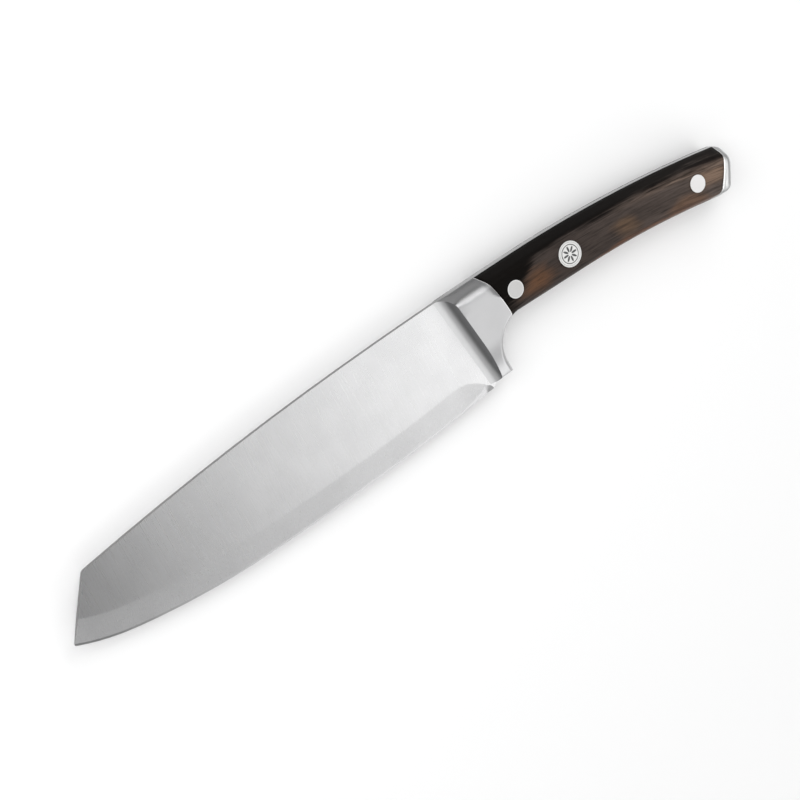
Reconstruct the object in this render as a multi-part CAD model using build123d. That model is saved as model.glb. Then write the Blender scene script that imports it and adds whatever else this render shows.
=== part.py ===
from build123d import *
from math import radians, tan
import os

# Kiritsuke kitchen knife: full tang, K-tip blade, steel bolster and butt cap, riveted wooden scales.
# Lengths are in millimetres and angles in degrees.
# The knife lies on its right side. X runs from tip to butt, Y from cutting edge to spine,
# and Z out of the left side. Outlines are drawn in a sketch frame in the middle plane,
# with X zero where the blade meets the bolster and Y zero at the height of the tip.

# Blade
blade_length = 200.5
blade_thickness = 2.0
clip_length = 16.8
clip_height = 22.6
clip_corner_radius = 2.4
tip_radius = 0.7
spine_peak_height = 29.05
spine_peak_share = 0.27
edge_depth = 17.7
edge_low_share = 0.3
edge_middle_shares = (0.6, 0.912)
edge_front_shares = (0.883, 0.473)
heel_reach = 2.8
heel_depth = 15.5
heel_corner_radius = 0.6

# Ground bevels, measured from the cutting edge
bevel_width = 10.2
bevel_edge_thickness = 0.5
bevel_end = 18.4
scoop_centre_depth = 7.4
sharpened_width = 0.9
sharpened_edge_thickness = 0.1
sharpened_end = 5.5

# Handle outline, at the edges of the tang
handle_front_reach = 30.0
handle_front_height = 27.3
butt_top_reach = 139.0
butt_top_height = 12.7
butt_slant = 9.2
butt_low_depth = 6.1
butt_bulge = 0.3
butt_top_radius = 6.4
butt_low_radius = 6.0
belly_reach = 58.0
belly_height = 3.9
notch_reach = 7.1
notch_height = 6.7
notch_radius = 12.0
tail_reach = 8.3
tail_depth = 13.6

# Handle section
handle_thickness = 18.0
crown_width = 3.2
crown_angle = 22.0
cheek_radius = 2.8
lobe_thickness = 9.0
lobe_taper_start = 6.0

# Tang
tang_front_thickness = 3.2
tang_rear_thickness = 2.4
tang_start = 3.0
tenon_length = 3.0
tenon_height = 11.0

# Bolster
bolster_front_top = 5.6
bolster_front_low = 0.9
bolster_foot_radius = 5.5
bolster_foot_bite = 0.12
bolster_front_lean = 7.0
bolster_seam_top = 11.2
bolster_seam_low = 15.6
bolster_seam_bulge = 1.0

# Butt cap, measured forward from the corners of the butt
cap_top_length = 7.2
cap_low_length = 11.0
cap_seam_bulge = 1.5

# Rivets: the rear one is measured forward from the top corner of the butt
front_rivet_reach = 21.6
front_rivet_height = 16.6
middle_rivet_reach = 49.6
middle_rivet_height = 15.3
rear_rivet_inset = 24.0
rear_rivet_height = 7.7
rivet_head_diameter = 7.3
rivet_head_thickness = 1.8
rivet_tube_diameter = 5.0
rivet_pin_diameter = 3.2
rivet_pin_reach = 2.6
rivet_end_gap = 0.4
medallion_head_diameter = 10.6
medallion_head_thickness = 2.2
medallion_diameter = 9.2
medallion_thickness = 0.8

# Medallion relief: rings and petals of a plain rosette
ring_diameter = 8.0
ring_width = 0.35
rosette_diameter = 6.6
petal_width = 0.9
petal_count = 8
button_diameter = 1.6
relief_depth = 0.15

# Fits
rivet_clearance = 0.05
tenon_clearance = 0.05
overrun = 20.0
bevel_overrun = 0.9
touching = 0.01

# Derived sizes
blade_half = blade_thickness / 2
crown_half = crown_width / 2
handle_half = handle_thickness / 2
crown_drop = tan(radians(crown_angle))
rim_radius = min(cheek_radius, lobe_thickness / 2 - crown_half)
bevel_rise = (blade_half - bevel_edge_thickness / 2) / bevel_width
sharpened_top = bevel_edge_thickness / 2 + bevel_rise * sharpened_width
sharpened_rise = (sharpened_top - sharpened_edge_thickness / 2) / sharpened_width

# Corners of the outlines
tip = Vector(-blade_length, 0)
clip_corner = Vector(-blade_length + clip_length, clip_height)
spine_peak = Vector(-spine_peak_share * blade_length, spine_peak_height)
edge_low = Vector(-edge_low_share * blade_length, -edge_depth)
edge_middle = Vector(-edge_middle_shares[0] * blade_length, -edge_middle_shares[1] * edge_depth)
edge_front = Vector(-edge_front_shares[0] * blade_length, -edge_front_shares[1] * edge_depth)
heel = Vector(-heel_reach, -heel_depth)
bolster_foot = Vector(bolster_front_low, -tail_depth)
handle_front = Vector(handle_front_reach, handle_front_height)
butt_top = Vector(butt_top_reach, butt_top_height)
butt_low = Vector(butt_top_reach - butt_slant, -butt_low_depth)
belly = Vector(belly_reach, belly_height)
notch = Vector(notch_reach, notch_height)
tail = Vector(tail_reach, -tail_depth)
cap_top = butt_top - Vector(cap_top_length, 0)
cap_low = butt_low - Vector(cap_low_length, 0)
rivet_spots = {
    "front": Vector(front_rivet_reach, front_rivet_height),
    "middle": Vector(middle_rivet_reach, middle_rivet_height),
    "rear": Vector(butt_top_reach - rear_rivet_inset, rear_rivet_height),
}
rivet_heads = {
    "front": (rivet_head_diameter, rivet_head_thickness),
    "middle": (medallion_head_diameter, medallion_head_thickness),
    "rear": (rivet_head_diameter, rivet_head_thickness),
}
UPWARD = (Align.CENTER, Align.CENTER, Align.MIN)


def edge_arcs():
    """Cutting edge from heel to tip: four arcs that run into each other."""
    heel_arc = TangentArc(edge_low, heel, tangent=(1, 0))
    low_arc = TangentArc(edge_low, edge_middle, tangent=(-1, 0))
    middle_arc = TangentArc(edge_middle, edge_front, tangent=low_arc % 1)
    tip_arc = TangentArc(edge_front, tip, tangent=middle_arc % 1)
    return heel_arc, low_arc, middle_arc, tip_arc


def round_corner(face, corner, radius):
    """Round the outline at the vertex nearest to a corner."""
    vertex = face.vertices().sort_by_distance(corner)[0]
    return face.fillet_2d(radius, [vertex])


def blade_face():
    """Side view of the blade, up to the bolster."""
    clip = Line(tip, clip_corner)
    spine = TangentArc(spine_peak, clip_corner, tangent=(-1, 0))
    rear = Polyline(heel, bolster_foot, Vector(bolster_foot.X, 0), spine_peak)
    face = make_face([*edge_arcs(), clip, spine, rear]).face()
    face = round_corner(face, clip_corner, clip_corner_radius)
    face = round_corner(face, tip, tip_radius)
    return round_corner(face, heel, heel_corner_radius)


def handle_face():
    """Side view of bolster and handle along the edges of the tang."""
    front_arc = TangentArc(spine_peak, handle_front, tangent=(1, 0))
    rear_arc = TangentArc(handle_front, butt_top, tangent=front_arc % 1)
    middle = (butt_top + butt_low) / 2
    butt_arc = ThreePointArc(butt_top, middle + outward_of(butt_low, butt_top) * butt_bulge, butt_low)
    belly_arc = TangentArc(belly, butt_low, tangent=belly - notch)
    lobe_corner = Vector(spine_peak.X, tail.Y)
    lower = Polyline(belly, notch, tail, lobe_corner, spine_peak)
    face = make_face([front_arc, rear_arc, butt_arc, belly_arc, lower]).face()
    face = round_corner(face, notch, notch_radius)
    face = round_corner(face, butt_top, butt_top_radius)
    return round_corner(face, butt_low, butt_low_radius)


def outward_of(low, top):
    """Direction to the rear, square to the line from a low point to a top one."""
    along = (top - low).normalized()
    return Vector(along.Y, -along.X)


def region(line, side):
    """Everything in front of a line (side -1) or behind it (side 1), through the whole thickness."""
    start = line @ 0
    end = line @ 1
    shift = Vector(side * blade_length, 0)
    rest = Polyline(end, end + shift, start + shift, start)
    return extrude(make_face([*line.edges(), *rest.edges()]), handle_thickness, both=True)


def seam(top, low, bulge):
    """Line between two materials, bulging to the rear and running on past both ends."""
    arc = ThreePointArc(top, (top + low) / 2 + outward_of(low, top) * bulge, low)
    upper = Line(top - (arc % 0) * overrun, top)
    lower = Line(low, low + (arc % 1) * overrun)
    return Wire([*upper.edges(), *arc.edges(), *lower.edges()])


def bolster_seam():
    """Line where the wood meets the bolster."""
    top = Vector(bolster_seam_top, handle_front.Y)
    low = Vector(bolster_seam_low, notch.Y)
    return seam(top, low, bolster_seam_bulge)


def cap_seam():
    """Line where the wood meets the butt cap."""
    return seam(cap_top, cap_low, cap_seam_bulge)


def bolster_front():
    """Line where the front of the bolster meets the blade."""
    return Line(Vector(-bolster_front_top, spine_peak_height), bolster_foot)


def handle_half_block():
    """Left half of bolster and handle: a straight core, then a crowned flank."""
    face = handle_face()
    flank_height = handle_half - crown_half
    shrunk = offset(face, -flank_height * crown_drop, kind=Kind.INTERSECTION).face()
    lifted = Pos(0, 0, crown_half) * face
    flank = loft([lifted, Pos(0, 0, handle_half) * shrunk], ruled=True)
    return extrude(face, crown_half) + flank


def rounded_rim(block, cheeks):
    """Round the outer edges of the cheek faces, all but those that lie in the bolster seam."""
    up = Vector(0, 0, handle_thickness)
    walls = [Face.extrude(edge, up) for edge in bolster_seam().edges()]
    edges = [edge for cheek in cheeks for edge in cheek.edges()]
    rim = []
    for edge in edges:
        twins = [other for other in edges if (other.center() - edge.center()).length < touching]
        to_seam = min(wall.distance_to(edge.center()) for wall in walls)
        if len(twins) == 1 and to_seam > touching:
            rim.append(edge)
    return fillet(rim, rim_radius)


def lobe_cutter():
    """What is ground off the bolster below the handle, leaving a convex cheek."""
    start = Vector(lobe_taper_start, handle_half)
    end = Vector(-tail_depth, lobe_thickness / 2)
    arc = TangentArc(start, end, tangent=(-1, 0))
    last = end + (arc % 1) * overrun
    lift = Vector(0, handle_thickness)
    rest = Polyline(end, last, last + lift, start + lift, start)
    profile = make_face([*arc.edges(), *rest.edges()])
    return extrude(Plane.YZ * profile, blade_length, both=True)


def bolster_front_cutter():
    """Space ahead of the bolster: a steep front face that runs out into the blade in a hollow."""
    front = bolster_front()
    low = front @ 1
    along = front % 0
    across = Vector(-along.Y, along.X)
    level = blade_half - bolster_foot_bite
    slope = tan(radians(bolster_front_lean))
    corner = Vector(0, level)
    points = [
        Vector(-bolster_foot_radius, -overrun),
        Vector(-bolster_foot_radius, level),
        corner,
        corner + Vector(slope, 1) * handle_thickness,
        Vector(-blade_length, handle_thickness),
        Vector(-blade_length, -overrun),
    ]
    face = make_face(Polyline(*points, close=True)).face()
    face = round_corner(face, corner, bolster_foot_radius)
    frame = Plane(origin=low, x_dir=across, z_dir=along)
    return extrude(frame * face, blade_length, both=True)


def bolster_block():
    """Left half of the bolster before the tang is let in."""
    block = handle_half_block() & region(bolster_seam(), -1)
    block = block - lobe_cutter()
    cheek = block.faces().filter_by(Axis.Z).sort_by(Axis.Z)[-1]
    lobe = block.faces().filter_by(GeomType.CYLINDER).sort_by(SortBy.AREA)[-1]
    return rounded_rim(block, [cheek, lobe]) - bolster_front_cutter()


def grip_block():
    """Left half of the wooden grip and butt cap before the tang is let in."""
    block = handle_half_block() & region(bolster_seam(), 1)
    cheek = block.faces().filter_by(Axis.Z).sort_by(Axis.Z)[-1]
    return rounded_rim(block, [cheek])


def bevel_cutter(edge_half, rise, end, depth):
    """One side's bevel: a wedge along the cutting edge that runs out near the heel in a round scoop.
    The scoop's centre lies a depth below the edge."""
    heel_arc, low_arc, middle_arc, tip_arc = edge_arcs()
    start = heel_arc @ ((-end - edge_low.X) / (heel.X - edge_low.X))
    heel_part = TangentArc(edge_low, start, tangent=(1, 0))
    beyond = Line(tip, tip + (tip_arc % 1) * overrun)
    arcs = [heel_part, low_arc, middle_arc, tip_arc, beyond]
    path = Wire([edge for arc in arcs for edge in arc.edges()])
    height = blade_half + bevel_overrun - edge_half
    reach = height / rise
    lift = Vector(0, 0, height)
    base = Vector(start.X, start.Y, edge_half)
    along = heel_part % 1
    square = Vector(-along.Y, along.X)
    inward = square * reach
    section = Polyline(base + inward + lift, base - inward - lift, base - inward + lift, close=True)
    wedge = sweep(make_face(section), path=path)
    sunk = Vector(0, 0, rise * depth)
    scoop = Cone(0, reach + depth, height + sunk.Z, align=UPWARD)
    return wedge + Pos(*(base - square * depth - sunk)) * scoop


def blade_plate():
    """Ground blade, running on at its own thickness under the bolster."""
    handle = extrude(handle_face(), blade_half, both=True) & region(cap_seam(), -1)
    return extrude(blade_face(), blade_half, both=True) + handle


def tang_core():
    """Full tang from inside the bolster to the butt cap, thinner towards the rear."""
    front = -bolster_front_top
    rear = cap_top.X + overrun
    lean = (tang_front_thickness - tang_rear_thickness) / 2 / (cap_top.X - tang_start)
    front_half = tang_front_thickness / 2 + lean * (tang_start - front)
    rear_half = tang_rear_thickness / 2 - lean * overrun
    lower = (front, -front_half), (rear, -rear_half)
    upper = (rear, rear_half), (front, front_half)
    side = Polyline(*lower, *upper, close=True)
    wedge = extrude(Plane.XZ * make_face(side), blade_length, both=True)
    line = bolster_front().moved(Pos(tang_start, 0))
    return extrude(handle_face(), handle_half, both=True) & wedge & region(line, 1)


def tenon(clearance):
    """Tongue at the rear of the tang that the butt cap sits on, grown by a clearance."""
    outward = outward_of(cap_low, cap_top)
    centre = (cap_top + cap_low) / 2 + outward * cap_seam_bulge
    size = 2 * (tenon_length + clearance), tenon_height + 2 * clearance
    frame = Plane(origin=centre, x_dir=outward, z_dir=(0, 0, 1))
    outline = frame * Rectangle(*size)
    return extrude(outline, tang_rear_thickness / 2 + clearance, both=True)


def rivet_hole(spot, head_diameter, head_thickness):
    """Stepped hole through scales and tang for one rivet."""
    hole = Cylinder(rivet_tube_diameter / 2 + rivet_clearance, 2 * handle_thickness)
    recess = Cylinder(head_diameter / 2 + rivet_clearance, head_thickness + overrun, align=UPWARD)
    for side in (1, -1):
        turned = recess if side == 1 else mirror(recess, about=Plane.XY)
        hole += Pos(0, 0, side * (handle_half - head_thickness)) * turned
    return Pos(*spot) * hole


def rivet_holes():
    """All the rivet holes of the handle."""
    holes = [rivet_hole(rivet_spots[name], *rivet_heads[name]) for name in rivet_spots]
    return Part() + holes


def rivet_tube_half(spot, head_diameter, head_thickness):
    """Left half of a rivet: a flush head on a tube with a blind bore."""
    low = head_thickness + rivet_end_gap - handle_half
    seat = handle_half - head_thickness
    tube = Pos(0, 0, low) * Cylinder(rivet_tube_diameter / 2, seat - low, align=UPWARD)
    head = Pos(0, 0, seat) * Cylinder(head_diameter / 2, head_thickness, align=UPWARD)
    bore_length = rivet_pin_reach + rivet_end_gap - low
    bore = Pos(0, 0, low) * Cylinder(rivet_pin_diameter / 2 + rivet_clearance, bore_length, align=UPWARD)
    return Pos(*spot) * (tube + head - bore)


def rivet_pin_half(spot, head_diameter, head_thickness):
    """Right half of a rivet: a flush head on the pin that is pressed into the tube."""
    seat = handle_half - head_thickness
    head = Pos(0, 0, -handle_half) * Cylinder(head_diameter / 2, head_thickness, align=UPWARD)
    pin = Pos(0, 0, -seat) * Cylinder(rivet_pin_diameter / 2, seat + rivet_pin_reach, align=UPWARD)
    return Pos(*spot) * (head + pin)


def medallion_seat():
    """Round recess in the left head of the middle rivet."""
    radius = medallion_diameter / 2 + rivet_clearance
    seat = Cylinder(radius, medallion_thickness + overrun, align=UPWARD)
    spot = rivet_spots["middle"]
    return Pos(spot.X, spot.Y, handle_half - medallion_thickness) * seat


def medallion():
    """Inlaid disc with a plain engraved rosette: a ring, petals and a button."""
    disc = Cylinder(medallion_diameter / 2, medallion_thickness, align=UPWARD)
    ring = Cylinder(ring_diameter / 2, relief_depth, align=UPWARD)
    ring -= Cylinder(ring_diameter / 2 - ring_width, relief_depth, align=UPWARD)
    petal_length = (rosette_diameter - button_diameter) / 2
    petal = extrude(Ellipse(petal_length / 2, petal_width / 2), relief_depth)
    petals = PolarLocations((rosette_diameter + button_diameter) / 4, petal_count) * petal
    relief = Part() + [ring, *petals]
    spot = rivet_spots["middle"]
    floor = handle_half - medallion_thickness
    engraved = disc - Pos(0, 0, medallion_thickness - relief_depth) * relief
    return Pos(spot.X, spot.Y, floor) * engraved


def blank():
    """Blade and tang in one piece, with its bevels, tenon and rivet holes."""
    wide = bevel_cutter(bevel_edge_thickness / 2, bevel_rise, bevel_end, scoop_centre_depth)
    sharpened = bevel_cutter(sharpened_edge_thickness / 2, sharpened_rise, sharpened_end, 0)
    bevels = wide + sharpened
    body = blade_plate() - bevels - mirror(bevels, about=Plane.XY)
    body = body + (tang_core() & region(cap_seam(), -1)) + tenon(0)
    return body - rivet_holes()


def build():
    """Every piece of the knife, by name."""
    steel = blank()
    holes = rivet_holes()
    grip = grip_block() - steel
    scale = (grip & region(cap_seam(), -1)) - holes
    cap = grip_block() & region(cap_seam(), 1)
    bolster = bolster_block() - blade_plate() - steel
    pieces = {
        "blade_and_tang": steel,
        "bolster_left": bolster,
        "bolster_right": mirror(bolster, about=Plane.XY),
        "scale_left": scale,
        "scale_right": mirror(scale, about=Plane.XY),
        "butt_cap": cap + mirror(cap, about=Plane.XY) - tenon(tenon_clearance),
        "medallion": medallion(),
    }
    for name, spot in rivet_spots.items():
        pieces[name + "_rivet_left"] = rivet_tube_half(spot, *rivet_heads[name])
        pieces[name + "_rivet_right"] = rivet_pin_half(spot, *rivet_heads[name])
    pieces["middle_rivet_left"] -= medallion_seat()
    return pieces


def export(pieces):
    """Write each piece with the origin below the middle of the knife, on its right side."""
    box = Compound(children=[Part() + piece for piece in pieces.values()]).bounding_box()
    shift = Pos(-box.center().X, -box.center().Y, -box.min.Z)
    os.makedirs("parts", exist_ok=True)
    for name, piece in pieces.items():
        export_step(shift * piece, "parts/" + name + ".step")


export(build())
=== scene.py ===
import math

import bpy
from mathutils import Matrix, Vector


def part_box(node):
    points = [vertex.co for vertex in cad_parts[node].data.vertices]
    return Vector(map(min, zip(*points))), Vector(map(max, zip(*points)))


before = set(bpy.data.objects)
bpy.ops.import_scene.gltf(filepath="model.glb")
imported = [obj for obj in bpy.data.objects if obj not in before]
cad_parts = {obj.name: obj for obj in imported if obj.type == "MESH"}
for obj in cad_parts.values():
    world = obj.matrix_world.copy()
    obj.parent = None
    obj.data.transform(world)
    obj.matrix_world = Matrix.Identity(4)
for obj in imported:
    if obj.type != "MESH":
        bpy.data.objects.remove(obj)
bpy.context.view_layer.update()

# Kiritsuke knife on a white floor under soft light: finishes, floor, lights and camera.
# The frame is in metres. The knife lies on its right side, X runs from tip to butt,
# Y from cutting edge to spine and Z up, out of the left side.

MM = 0.001
white = (1.0, 1.0, 1.0)
black = (0.0, 0.0, 0.0)

# Camera: angles in degrees, lens and sensor in millimetres
camera_azimuth = 224.464
camera_elevation = 60.113
camera_roll = 103.757
camera_distance = 1.16505
camera_target = Vector((-0.00787, -0.00207, 0.009))
camera_lens = 135.0
camera_sensor = 36.0

# Soft boxes: azimuth from +X and elevation in degrees, and power in watts
box_size = 0.8
box_distance = 1.1
soft_boxes = {
    "key": (140, 50, 7.5),
    "crown": (60, 41, 5.4),
    "heel": (-16, 54, 2.4),
    "edge": (-60, 38, 1.2),
    "low": (-60, 12, 2.4),
    "tip": (-88, 43, 0.3),
    "front": (-140, 52, 2.4),
    "horizon": (-150, 14, 1.2),
}

# Surroundings and floor
world_zenith = 0.03
world_horizon = 0.3
horizon_height = 0.5
floor_size = 12.0
floor_colour = (0.82, 0.82, 0.82)
floor_roughness = 0.9
floor_lift = 0.13

# A lean below is a range of the surface normal and a span a range of places,
# over which one tone changes into the next. A shade is painted shade, a share of a colour's
# brightness.
# Every noise goes up and down around its middle, and nearly all of it lies in its range.
noise_middle = 0.5
noise_range = (0.3, 0.7)

# Blade and tang: painted shade darkens the face near the tip and the walls of spine and tang
blade_colour = (0.75, 0.75, 0.755)
blade_roughness = 0.28
tip_painted_shade = 0.86
face_span = (-168 * MM, -115 * MM)
bevel_lean = (0.015, 0.04)
honed_colour = (0.58, 0.58, 0.585)
honed_lean = (0.965, 0.985)
wall_lean = (0.6, 0.85)
spine_painted_shade = 0.3
tang_painted_shade = 0.6
tang_span = (10 * MM, 45 * MM)

# Bolster: spans count from the line on which its front wall stands, and are negative ahead of it
bolster_colour = (0.53, 0.53, 0.535)
bolster_roughness = 0.30
bolster_front = (Vector((26.29, 23.38)) * MM, Vector((32.79, -19.28)) * MM)
# Painted light: the hollow ahead of the front wall takes the blade's lighter colour
hollow_painted_light_span = (-4.0 * MM, -1.2 * MM)
foot_span = (-4.5 * MM, -2.6 * MM)
foot_tilt = 0.22
# Painted shade on the front wall and the crown
front_lean = (0.65, 0.97)
front_painted_shade = 0.3
crown_lean = (0.3, 0.85)
crown_painted_shade = 0.41
crown_heights = (11 * MM, 15 * MM)
crown_round = 5.0 * MM
crown_round_span = (0.0, 5.0 * MM)

# Butt cap, with painted shade where it turns to the spine or the belly
cap_colour = (0.80, 0.805, 0.80)
cap_painted_shade = 0.42
cap_lean = (0.05, 0.6)

# Seams between wood and steel: top, low end and bulge, as in the solids, and the painted highlight
# along them
bolster_seam = (Vector((43.09, 21.63)) * MM, Vector((47.49, 1.03)) * MM, 1.0 * MM)
cap_seam = (Vector((163.69, 7.03)) * MM, Vector((150.69, -11.78)) * MM, 1.5 * MM)
seam_highlight_colour = (1.0, 1.0, 0.99)
seam_highlight_width = 0.4 * MM

# Rivets and medallion
# Painted light: the rear rivet is lighter than the front and middle ones, though all are the same
# steel
rivet_colours = {
    "front": (0.53, 0.525, 0.52),
    "middle": (0.53, 0.525, 0.52),
    "rear": (0.66, 0.655, 0.65),
}
rivet_rim_colour = (0.66, 0.66, 0.65)
rivet_rim_width = 0.5 * MM
engraving_colour = (0.10, 0.10, 0.10)
engraving_depth = 0.15 * MM

# Surface of every steel: fine grinding lines and a broad haze from polishing
roughness_spread = 0.008
line_length = 30 * MM
line_width = 0.12 * MM
line_relief = 0.007
line_height = 0.01 * MM
line_noise = {"detail": 3.0, "roughness": 0.6}
haze_size = 12 * MM
haze_depth = 0.05
haze_noise = {"detail": 3.0}

# Wood. Its height is counted from the belly and follows the handle's bend, which grows
# with the square of the distance behind its start.
wood_roughnesses = (0.37, 0.52)
wood_specular = 0.12
grip_round = 3.0 * MM
round_samples = 6
grain_bend = 1.1
grain_bend_start = 52 * MM
fade_span = (85 * MM, 165 * MM)
grey_front = (0.058, 0.044, 0.038)
grey_rear = (0.108, 0.083, 0.071)
streak_colour = (0.016, 0.011, 0.009)

# Near-black crown, partly dark wood and partly painted shade: its lower limit and the blur
# of that limit, at the bolster and further back, a wider blur at the butt, and how many
# blurs the clouds and streaks push the limit
dark_front = (0.005, 0.004, 0.0035)
dark_rear = (0.009, 0.007, 0.006)
dark_specular = 0.03
dark_limits = (1.0 * MM, 17.8 * MM)
dark_blurs = (7.0 * MM, 1.5 * MM)
dark_span = (44 * MM, 70 * MM)
butt_blur = 2.0 * MM
butt_blur_span = (125 * MM, 160 * MM)
dark_clouding = 2.0
dark_fraying = 3.5

# Painted highlight: a paler ridge along the rounded edge below the crown
ridge_highlight_colour = (0.17, 0.122, 0.095)
ridge_height = 17.0 * MM
ridge_width = 2.2 * MM
ridge_span = (95 * MM, 155 * MM)

# Warm patches: middle and half extents in millimetres, along the knife and in height, and colour
warm_patches = {
    "front": ((63.5, 8.5), (11, 5.5), (0.115, 0.056, 0.029)),
    "middle": ((110, 9), (8, 4), (0.105, 0.066, 0.042)),
    "rear": ((139, 6), (9, 4), (0.125, 0.075, 0.050)),
    "butt": ((156, 12.5), (13, 3.6), (0.205, 0.138, 0.099)),
    "belly": ((124, 1.8), (40, 2.8), (0.130, 0.058, 0.029)),
}
# How far inside its outline a patch sets in, as a share of its extents, and how far clouds fray it
patch_edge = (-0.25, 0.6)
patch_fraying = 1.6

# Grain: cycles per metre along the knife, in height and through it, then span and depth
cloud_scale = (35, 160, 90)
cloud_noise = {"detail": 3.0, "distortion": 0.6}
cloud_depth = 0.4
streak_scale = (45, 900, 500)
streak_noise = {"detail": 4.0, "roughness": 0.65}
streak_span = (0.42, 0.66)
streak_depth = 0.52
fibre_scale = (160, 4200, 2500)
fibre_noise = {"detail": 2.0}
fibre_span = (0.5, 0.75)
fibre_depth = 0.6
fibre_relief = 0.12
fibre_height = 0.02 * MM


class Nodes:
    """Short calls that build one node tree."""

    def __init__(self, tree):
        self.tree = tree

    def new(self, kind, **settings):
        node = self.tree.nodes.new(kind)
        for name, value in settings.items():
            setattr(node, name, value)
        return node

    def feed(self, socket, value):
        """Link a socket to the one given, or set its colour, vector or number."""
        if isinstance(value, bpy.types.NodeSocket):
            self.tree.links.new(value, socket)
        elif socket.type == "RGBA":
            socket.default_value = (*value, 1.0)
        else:
            socket.default_value = value

    def math(self, operation, first, second=0.0, clamp=False):
        node = self.new("ShaderNodeMath", operation=operation, use_clamp=clamp)
        self.feed(node.inputs[0], first)
        self.feed(node.inputs[1], second)
        return node.outputs[0]

    def plus(self, first, second):
        return self.math("ADD", first, second)

    def minus(self, first, second):
        return self.math("SUBTRACT", first, second)

    def times(self, first, second):
        return self.math("MULTIPLY", first, second)

    def square(self, value):
        return self.math("POWER", value, 2.0)

    def absolute(self, value):
        return self.math("ABSOLUTE", value)

    def length(self, x, y):
        """Length of a vector in the plane."""
        return self.math("SQRT", self.plus(self.square(x), self.square(y)))

    def place(self):
        return self.new("ShaderNodeTexCoord").outputs["Object"]

    def axes(self):
        """X, Y and Z of a point."""
        return self.split(self.place())

    def normal(self):
        """X, Y and Z of the surface normal."""
        return self.split(self.new("ShaderNodeTexCoord").outputs["Normal"])

    def rounded(self, radius):
        """Surface normal with the edges rounded off."""
        node = self.new("ShaderNodeBevel", samples=round_samples)
        self.feed(node.inputs["Radius"], radius)
        return node.outputs[0]

    def split(self, vector):
        node = self.new("ShaderNodeSeparateXYZ")
        self.feed(node.inputs[0], vector)
        return node.outputs

    def join(self, x, y, z):
        node = self.new("ShaderNodeCombineXYZ")
        for socket, value in zip(node.inputs, (x, y, z)):
            self.feed(socket, value)
        return node.outputs[0]

    def noise(self, vector, scale, detail=2.0, roughness=0.5, distortion=0.0):
        """Noise on a vector, with its own scale along each axis."""
        stretch = self.new("ShaderNodeVectorMath", operation="MULTIPLY")
        self.feed(stretch.inputs[0], vector)
        self.feed(stretch.inputs[1], scale)
        node = self.new("ShaderNodeTexNoise")
        self.feed(node.inputs["Vector"], stretch.outputs[0])
        self.feed(node.inputs["Scale"], 1.0)
        self.feed(node.inputs["Detail"], detail)
        self.feed(node.inputs["Roughness"], roughness)
        self.feed(node.inputs["Distortion"], distortion)
        return node.outputs["Fac"]

    def step(self, value, low, high, to_low=0.0, to_high=1.0):
        """Smooth change from one value to another while the input goes from low to high."""
        node = self.new("ShaderNodeMapRange", interpolation_type="SMOOTHSTEP")
        for socket, number in zip(node.inputs[:5], (value, low, high, to_low, to_high)):
            self.feed(socket, number)
        return node.outputs[0]

    def fade(self, value, low, high, start=1.0):
        """Smooth change down to zero while the input goes from low to high."""
        return self.step(value, low, high, start, 0.0)

    def mix(self, share, first, second):
        """Colour between two colours."""
        node = self.new("ShaderNodeMix", data_type="RGBA")
        self.feed(node.inputs["Factor"], share)
        self.feed(node.inputs["A"], first)
        self.feed(node.inputs["B"], second)
        return node.outputs["Result"]

    def bump(self, height, strength, distance, normal=None):
        node = self.new("ShaderNodeBump")
        self.feed(node.inputs["Strength"], strength)
        self.feed(node.inputs["Distance"], distance)
        self.feed(node.inputs["Height"], height)
        if normal:
            self.feed(node.inputs["Normal"], normal)
        return node.outputs[0]


def shaded(base, shade):
    """A darker colour, for painted shade."""
    return tuple(channel * shade for channel in base)


def material(name, metallic=1.0, specular=0.5):
    """New material, its nodes and its main shader."""
    made = bpy.data.materials.new(name)
    made.use_nodes = True
    shader = made.node_tree.nodes["Principled BSDF"]
    shader.inputs["Metallic"].default_value = metallic
    shader.inputs["Specular IOR Level"].default_value = specular
    return made, Nodes(made.node_tree), shader


def dress(names, made):
    """Give the named solids one material."""
    for name in names:
        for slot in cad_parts[name].material_slots:
            slot.material = made


def reach_from(nodes, centre):
    """Distance of a point from an axis along Z."""
    x, y, z = nodes.axes()
    return nodes.length(nodes.minus(x, centre.x), nodes.minus(y, centre.y))


def arc_distance(nodes, seam):
    """Distance of a point from the arc of a seam, seen from the side."""
    top, low, bulge = seam
    along = (top - low).normalized()
    outward = Vector((along.y, -along.x))
    half = (top - low).length / 2
    radius = (half**2 + bulge**2) / (2 * bulge)
    centre = (top + low) / 2 + outward * (bulge - radius)
    return nodes.absolute(nodes.minus(reach_from(nodes, centre), radius))


def behind_line(nodes, line):
    """How far a point lies to the rear of a straight line, seen from the side."""
    top, low = line
    along = (top - low).normalized()
    x, y, z = nodes.axes()
    across = nodes.times(nodes.minus(x, low.x), along.y)
    upward = nodes.times(nodes.minus(y, low.y), along.x)
    return nodes.minus(across, upward)


def ground_lines(nodes):
    """Fine grinding lines across the knife."""
    scale = (1 / line_width, 1 / line_length, 1 / line_width)
    return nodes.noise(nodes.place(), scale, **line_noise)


def hazed(nodes, tone):
    """Steel with faint broad unevenness from polishing."""
    haze = nodes.noise(nodes.place(), (1 / haze_size,) * 3, **haze_noise)
    return nodes.mix(nodes.step(haze, *noise_range, 0.0, haze_depth), tone, black)


def finish_steel(nodes, shader, tone, roughness, normal=None):
    """Feed a steel's colour, uneven roughness and grinding lines to its shader."""
    lines = ground_lines(nodes)
    low, high = roughness - roughness_spread, roughness + roughness_spread
    nodes.feed(shader.inputs["Base Color"], hazed(nodes, tone))
    nodes.feed(shader.inputs["Roughness"], nodes.step(lines, *noise_range, low, high))
    nodes.feed(shader.inputs["Normal"], nodes.bump(lines, line_relief, line_height, normal))


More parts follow.
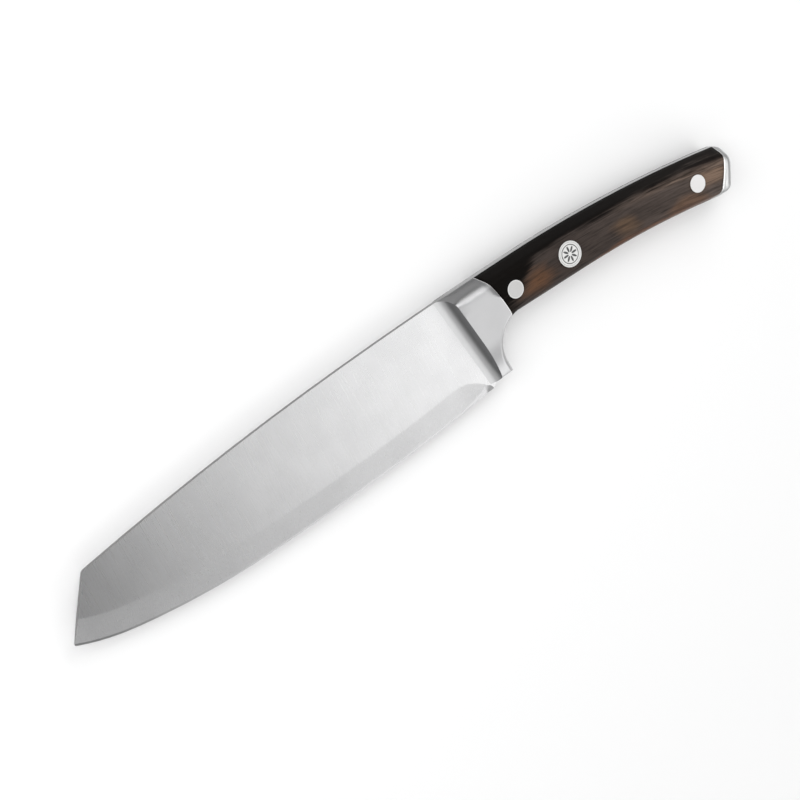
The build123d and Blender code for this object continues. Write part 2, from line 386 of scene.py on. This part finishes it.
def with_seam_highlight(nodes, tone, seam):
    """Steel with a painted highlight, a bright line, along its seam with the wood."""
    on_highlight = nodes.fade(arc_distance(nodes, seam), 0.0, seam_highlight_width)
    return nodes.mix(on_highlight, tone, seam_highlight_colour)


def blade_steel():
    """Satin blade with a honed edge; painted shade darkens the face near the tip, but not the bevel,
    and the walls of spine and tang.
    """
    made, nodes, shader = material("blade_steel")
    x = nodes.axes()[0]
    normal = nodes.normal()
    facing = nodes.absolute(normal[2])
    unground = nodes.fade(nodes.absolute(normal[1]), *bevel_lean)
    # Painted shade: the face, not the bevel, darkens towards the tip
    painted_tip_shade = nodes.times(nodes.fade(x, *face_span), unground)
    face = nodes.mix(painted_tip_shade, blade_colour, shaded(blade_colour, tip_painted_shade))
    honed = nodes.mix(nodes.step(facing, *honed_lean), honed_colour, face)
    # Painted shade on the walls of spine and tang, darker on the spine
    spine = shaded(blade_colour, spine_painted_shade)
    tang = shaded(blade_colour, tang_painted_shade)
    wall = nodes.mix(nodes.step(x, *tang_span), spine, tang)
    tone = nodes.mix(nodes.step(facing, *wall_lean), wall, honed)
    finish_steel(nodes, shader, tone, blade_roughness)
    return made


def bolster_normal(nodes, behind):
    """X, Y and Z of the bolster's normal, with the crown's edges rounded off."""
    near_crown = nodes.step(nodes.axes()[1], *crown_heights)
    radius = nodes.step(behind, *crown_round_span, 0.0, crown_round)
    return nodes.split(nodes.rounded(nodes.times(near_crown, radius)))


def bolster_steel():
    """Satin bolster, painted light in the blade's colour in the hollow at its foot, and painted shade
    on front wall and crown.
    """
    made, nodes, shader = material("bolster_steel")
    behind = behind_line(nodes, bolster_front)
    x, y, z = bolster_normal(nodes, behind)
    # Painted shade on the crown
    crown = nodes.step(y, *crown_lean)
    tone = nodes.mix(crown, bolster_colour, shaded(bolster_colour, crown_painted_shade))
    # Painted light in the hollow ahead of the front wall
    tone = nodes.mix(nodes.step(behind, *hollow_painted_light_span), blade_colour, tone)
    # Painted shade on the front wall
    wall = nodes.step(nodes.times(x, -1.0), *front_lean)
    tone = nodes.mix(wall, tone, shaded(bolster_colour, front_painted_shade))
    tone = with_seam_highlight(nodes, tone, bolster_seam)
    # The foot leans ahead a little and runs out softly into the blade
    ahead = nodes.minus(x, nodes.fade(behind, *foot_span, foot_tilt))
    finish_steel(nodes, shader, tone, bolster_roughness, nodes.join(ahead, y, z))
    return made


def cap_steel():
    """Satin butt cap with softened edges, painted shade where it turns to the spine or the belly, and
    a painted highlight along its seam.
    """
    made, nodes, shader = material("cap_steel")
    normal = nodes.rounded(grip_round)
    sideways = nodes.absolute(nodes.split(normal)[1])
    tone = nodes.mix(nodes.step(sideways, *cap_lean), cap_colour, shaded(cap_colour, cap_painted_shade))
    finish_steel(nodes, shader, with_seam_highlight(nodes, tone, cap_seam), bolster_roughness, normal)
    return made


def rivet_finish(node, tone):
    """Rivet head: satin face with a bright polished rim."""
    low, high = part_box(node)
    radius = (high.x - low.x) / 2
    made, nodes, shader = material(node + "_finish")
    reach = reach_from(nodes, (low + high) / 2)
    rim = nodes.step(reach, radius - rivet_rim_width, radius - rivet_rim_width / 2)
    finish_steel(nodes, shader, nodes.mix(rim, tone, rivet_rim_colour), bolster_roughness)
    return made


def medallion_finish():
    """Inlaid disc: bright face, dark in the engraved lines."""
    low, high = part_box("medallion")
    made, nodes, shader = material("medallion_finish")
    height = nodes.axes()[2]
    raised = nodes.step(height, high.z - engraving_depth, high.z - engraving_depth / 2)
    tone = nodes.mix(raised, engraving_colour, rivet_rim_colour)
    finish_steel(nodes, shader, tone, bolster_roughness)
    return made


def wood_grain(nodes):
    """Position along the knife, height above the belly, and coordinates that follow the grain."""
    x, y, z = nodes.axes()
    bend = nodes.times(nodes.square(nodes.minus(x, grain_bend_start)), grain_bend)
    height = nodes.plus(y, bend)
    return x, height, nodes.join(x, height, z)


def offset(nodes, noise, strength):
    """How far a noise pushes a limit to either side."""
    return nodes.times(nodes.minus(noise, noise_middle), strength)


def warm_patch(nodes, x, height, clouds, middle, extent):
    """Share of a warm patch at a point, its outline frayed by the clouds."""
    along = nodes.math("DIVIDE", nodes.minus(x, middle[0] * MM), extent[0] * MM)
    upward = nodes.math("DIVIDE", nodes.minus(height, middle[1] * MM), extent[1] * MM)
    inside = nodes.minus(1.0, nodes.length(along, upward))
    return nodes.step(nodes.plus(inside, offset(nodes, clouds, patch_fraying)), *patch_edge)


def ridge(nodes, x, height):
    """Share of the painted highlight, a paler ridge, at a point."""
    apart = nodes.absolute(nodes.minus(height, ridge_height))
    return nodes.times(nodes.fade(apart, 0.0, ridge_width), nodes.step(x, *ridge_span))


def dark_wood_and_shaded_crown(nodes, x, height, clouds, streaks):
    """Share of the near-black crown, partly dark wood and partly painted shade, which covers the whole
    front and frays out along the grain.
    """
    limit = nodes.step(x, *dark_span, *dark_limits)
    blur = nodes.step(x, *dark_span, *dark_blurs)
    blur = nodes.plus(blur, nodes.step(x, *butt_blur_span, 0.0, butt_blur))
    over = nodes.math("DIVIDE", nodes.minus(height, limit), blur)
    over = nodes.plus(over, offset(nodes, clouds, dark_clouding))
    over = nodes.plus(over, offset(nodes, streaks, dark_fraying))
    return nodes.step(over, -1.0, 1.0)


def wood():
    """Dark laminated wood with a near-black crown that is partly painted shade, a painted highlight
    along the ridge, warm patches and streaks that follow the handle.
    """
    made, nodes, shader = material("scale_wood", 0.0, wood_specular)
    x, height, grain = wood_grain(nodes)
    clouds = nodes.noise(grain, cloud_scale, **cloud_noise)
    streaks = nodes.noise(grain, streak_scale, **streak_noise)
    fibres = nodes.noise(grain, fibre_scale, **fibre_noise)
    crown = dark_wood_and_shaded_crown(nodes, x, height, clouds, streaks)
    rearward = nodes.step(x, *fade_span)
    tone = nodes.mix(rearward, grey_front, grey_rear)
    tone = nodes.mix(nodes.fade(clouds, *noise_range, cloud_depth), tone, streak_colour)
    for middle, extent, tint in warm_patches.values():
        tone = nodes.mix(warm_patch(nodes, x, height, clouds, middle, extent), tone, tint)
    tone = nodes.mix(ridge(nodes, x, height), tone, ridge_highlight_colour)
    tone = nodes.mix(nodes.step(streaks, *streak_span, 0.0, streak_depth), tone, streak_colour)
    tone = nodes.mix(crown, tone, nodes.mix(rearward, dark_front, dark_rear))
    tone = nodes.mix(nodes.step(fibres, *fibre_span, 0.0, fibre_depth), tone, dark_front)
    gloss = nodes.step(crown, 0.0, 1.0, wood_specular, dark_specular)
    relief = nodes.bump(fibres, fibre_relief, fibre_height, nodes.rounded(grip_round))
    nodes.feed(shader.inputs["Base Color"], tone)
    nodes.feed(shader.inputs["Specular IOR Level"], gloss)
    nodes.feed(shader.inputs["Roughness"], nodes.step(fibres, *noise_range, *wood_roughnesses))
    nodes.feed(shader.inputs["Normal"], relief)
    return made


def dress_knife():
    """Every solid's finish."""
    dress(["blade_and_tang"], blade_steel())
    dress(["bolster_left", "bolster_right"], bolster_steel())
    dress(["butt_cap"], cap_steel())
    dress(["scale_left", "scale_right"], wood())
    dress(["medallion"], medallion_finish())
    for place, tone in rivet_colours.items():
        for side in ("left", "right"):
            name = place + "_rivet_" + side
            dress([name], rivet_finish(name, tone))


def make_floor():
    """Pale floor that looks white to the camera and in reflections, and keeps the knife's shadow."""
    mesh = bpy.data.meshes.new("floor")
    half = floor_size / 2
    corners = [(-half, -half, 0), (half, -half, 0), (half, half, 0), (-half, half, 0)]
    mesh.from_pydata(corners, [], [(0, 1, 2, 3)])
    floor = bpy.data.objects.new("floor", mesh)
    bpy.context.scene.collection.objects.link(floor)
    made, nodes, shader = material("floor", 0.0, 0.0)
    path = nodes.new("ShaderNodeLightPath").outputs
    seen = nodes.plus(path["Is Camera Ray"], path["Is Glossy Ray"])
    seen = nodes.math("ADD", seen, path["Is Transmission Ray"], clamp=True)
    nodes.feed(shader.inputs["Base Color"], floor_colour)
    nodes.feed(shader.inputs["Roughness"], floor_roughness)
    nodes.feed(shader.inputs["Emission Color"], white)
    nodes.feed(shader.inputs["Emission Strength"], nodes.times(seen, floor_lift))
    mesh.materials.append(made)


def make_world():
    """Soft surroundings, paler at the horizon than overhead, that look white to the camera."""
    world = bpy.data.worlds.new("surroundings")
    world.use_nodes = True
    bpy.context.scene.world = world
    nodes = Nodes(world.node_tree)
    upward = nodes.split(nodes.new("ShaderNodeTexCoord").outputs["Generated"])[2]
    level = nodes.step(upward, 0.0, horizon_height, world_horizon, world_zenith)
    seen = nodes.new("ShaderNodeLightPath").outputs["Is Camera Ray"]
    background = world.node_tree.nodes["Background"]
    nodes.feed(background.inputs["Strength"], nodes.math("MAXIMUM", level, seen))
    nodes.feed(background.inputs["Color"], white)


def make_light(name, azimuth, elevation, power):
    """Square soft box that faces the middle of the knife."""
    light = bpy.data.lights.new(name, "AREA")
    light.size = box_size
    light.energy = power
    lamp = bpy.data.objects.new(name, light)
    turn = math.radians(azimuth)
    rise = math.radians(elevation)
    away = Vector((math.cos(turn) * math.cos(rise), math.sin(turn) * math.cos(rise), math.sin(rise)))
    lamp.location = away * box_distance
    lamp.rotation_mode = "QUATERNION"
    lamp.rotation_quaternion = (-away).to_track_quat("-Z", "Y")
    bpy.context.scene.collection.objects.link(lamp)


def make_camera():
    """Camera at the photograph's angle."""
    azimuth = math.radians(camera_azimuth)
    elevation = math.radians(camera_elevation)
    level = math.cos(elevation)
    back = Vector((math.sin(azimuth) * level, -math.cos(azimuth) * level, math.sin(elevation)))
    upright = (-back).to_track_quat("-Z", "Y").to_matrix().to_4x4()
    data = bpy.data.cameras.new("camera")
    data.lens = camera_lens
    data.sensor_width = camera_sensor
    camera = bpy.data.objects.new("camera", data)
    roll = Matrix.Rotation(math.radians(camera_roll), 4, "Z")
    camera.matrix_world = Matrix.Translation(camera_target + back * camera_distance) @ upright @ roll
    bpy.context.scene.collection.objects.link(camera)
    bpy.context.scene.camera = camera


dress_knife()
make_floor()
make_world()
for name, box in soft_boxes.items():
    make_light(name, *box)
make_camera()
bpy.context.scene.view_settings.view_transform = "Standard"
